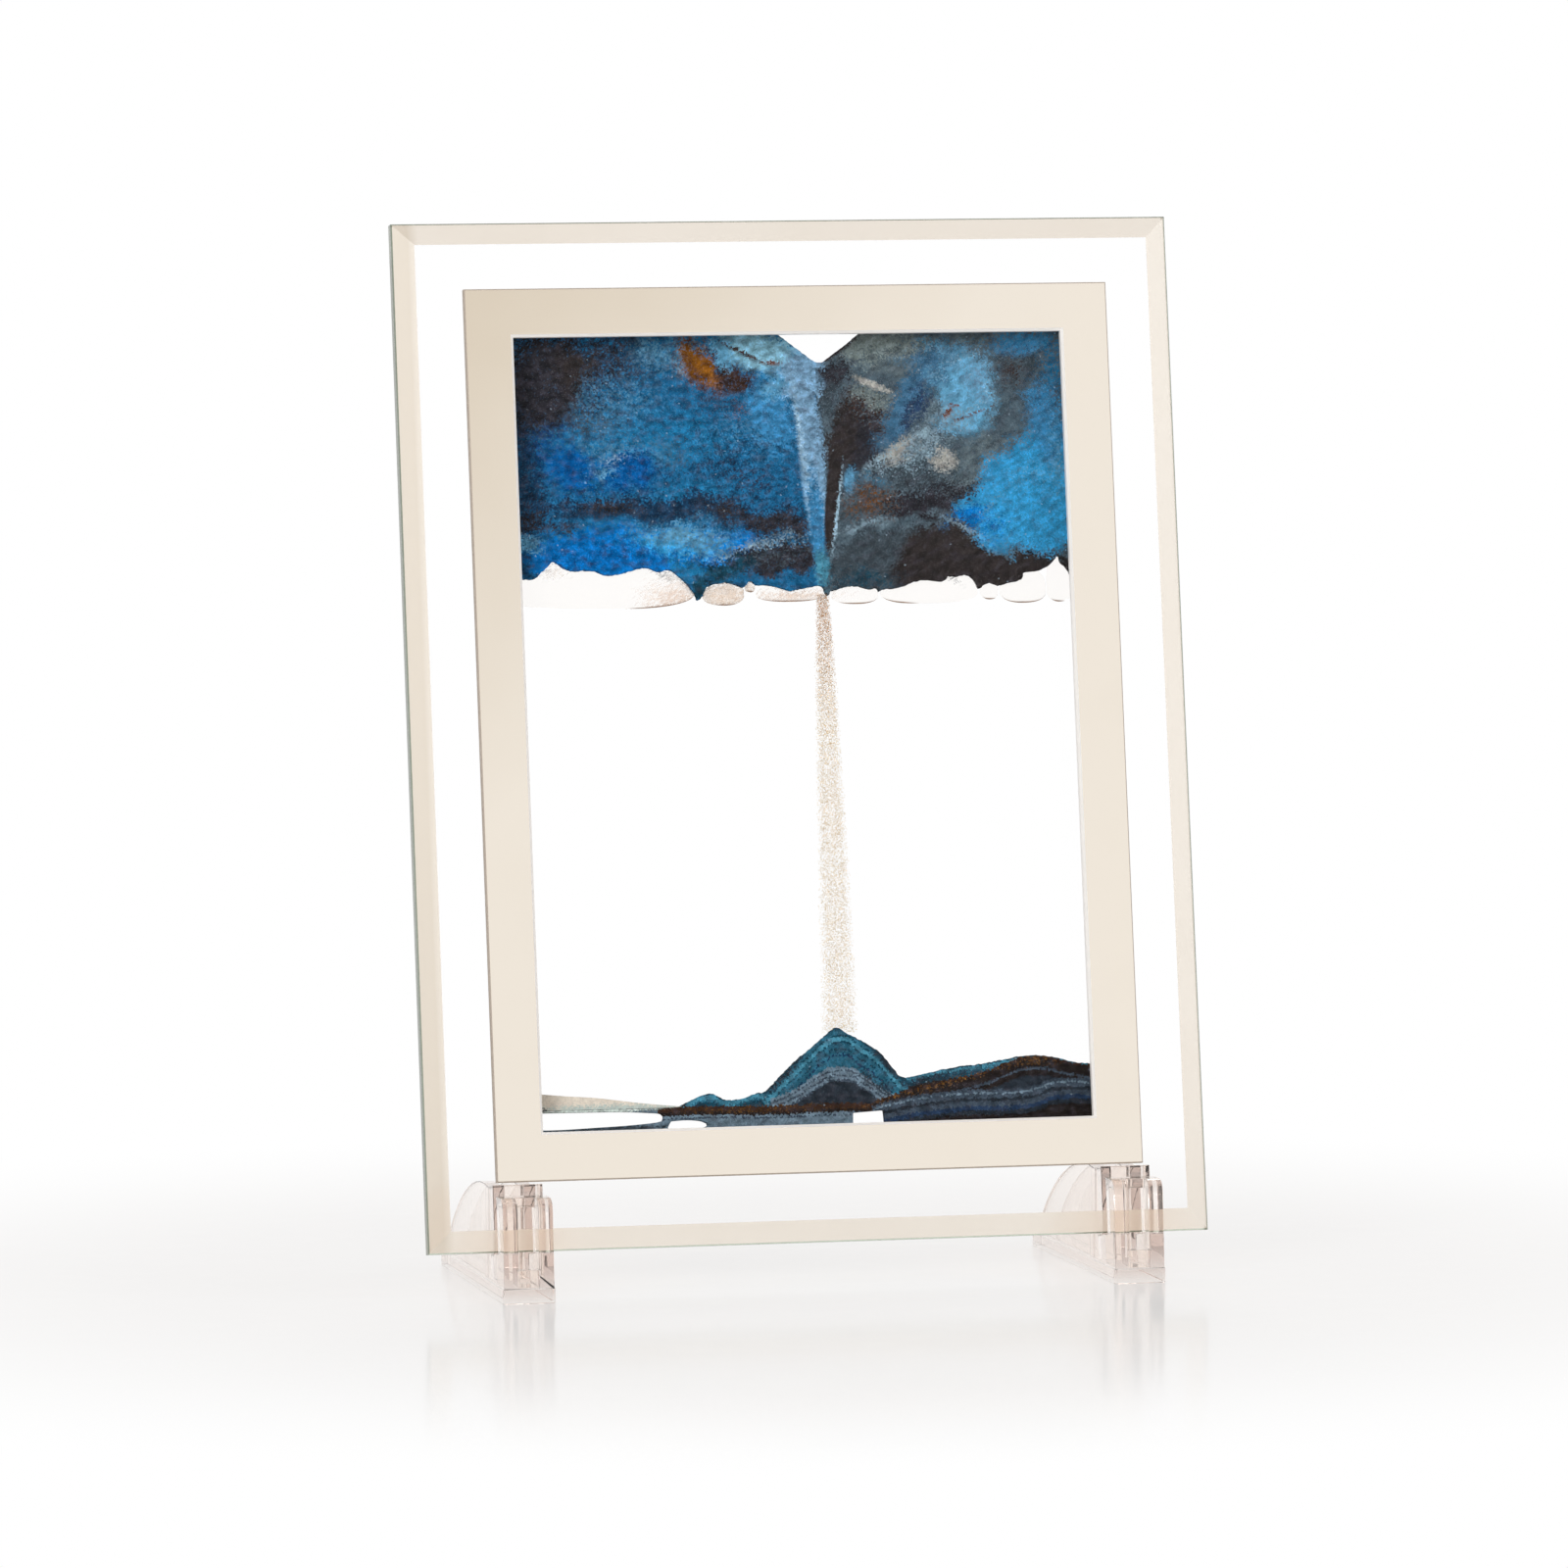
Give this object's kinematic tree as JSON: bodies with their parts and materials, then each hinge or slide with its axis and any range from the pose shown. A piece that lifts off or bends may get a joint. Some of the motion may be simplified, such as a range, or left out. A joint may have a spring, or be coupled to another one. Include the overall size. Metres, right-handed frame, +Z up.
{
  "type": "moving sand picture frame",
  "caption": "Liquid-filled glass cell of coloured sand and air behind a bevelled pane with a mirrored border, leaning in two clear feet; when turned over, the sand falls into a new landscape.",
  "frame": {"origin": "on the table under the middle of the object: halfway along the feet and halfway across the pane", "axes": "+Z up, +X to the viewer's right, the picture faces -Y and leans back towards +Y"},
  "size_m": [0.18, 0.08, 0.2404],
  "materials": {
    "clear_glass": "polished float glass with a ground bevel",
    "champagne_mirror": "pale champagne mirrored strip",
    "grey_silicone": "satin silicone",
    "clear_plastic": "clear moulded plastic",
    "clear_liquid": "clear liquid",
    "trapped_air": "air in liquid",
    "blue_sand": "wet dyed grains",
    "pale_sand": "wet dyed grains",
    "slate_sand": "wet dyed grains",
    "black_sand": "wet dyed grains",
    "gold_sand": "wet bronze grains",
    "falling_sand": "loose falling grains"
  },
  "bodies": {
    "glass_unit": {"front_border": "champagne_mirror", "front_glass": "clear_glass", "spacer_gasket": "grey_silicone", "edge_sealant": "grey_silicone", "back_glass": "clear_glass", "back_border": "champagne_mirror", "upper_blue_sand": "blue_sand", "upper_pale_sand": "pale_sand", "upper_slate_sand": "slate_sand", "upper_black_sand": "black_sand", "falling_sand": "falling_sand", "lower_slate_bed": "slate_sand", "lower_gold_streak": "gold_sand", "lower_blue_ripple": "blue_sand", "lower_blue_cone": "blue_sand", "lower_blue_drift": "blue_sand", "air_bubble_1": "trapped_air", "air_bubble_2": "trapped_air", "air_bubble_3": "trapped_air", "air_bubble_4": "trapped_air", "air_bubble_5": "trapped_air", "air_bubble_6": "trapped_air", "air_bubble_7": "trapped_air", "air_bubble_8": "trapped_air", "air_bubble_9": "trapped_air", "liquid": "clear_liquid", "notch_liquid": "clear_liquid"},
    "left_foot": {"left_foot": "clear_plastic"},
    "right_foot": {"right_foot": "clear_plastic"},
    "fill_plug": {"fill_plug": "grey_silicone"}
  },
  "joints": [
    {"name": "left_foot_pull", "type": "slide", "parent": "glass_unit", "child": "left_foot", "axis": [0, -0.1513, -0.9885], "range_m": [0, 0.03]},
    {"name": "right_foot_pull", "type": "slide", "parent": "glass_unit", "child": "right_foot", "axis": [0, -0.1513, -0.9885], "range_m": [0, 0.03]},
    {"name": "fill_plug_pull", "type": "slide", "parent": "glass_unit", "child": "fill_plug", "axis": [0, 0.1513, 0.9885], "range_m": [0, 0.014]}
  ]
}
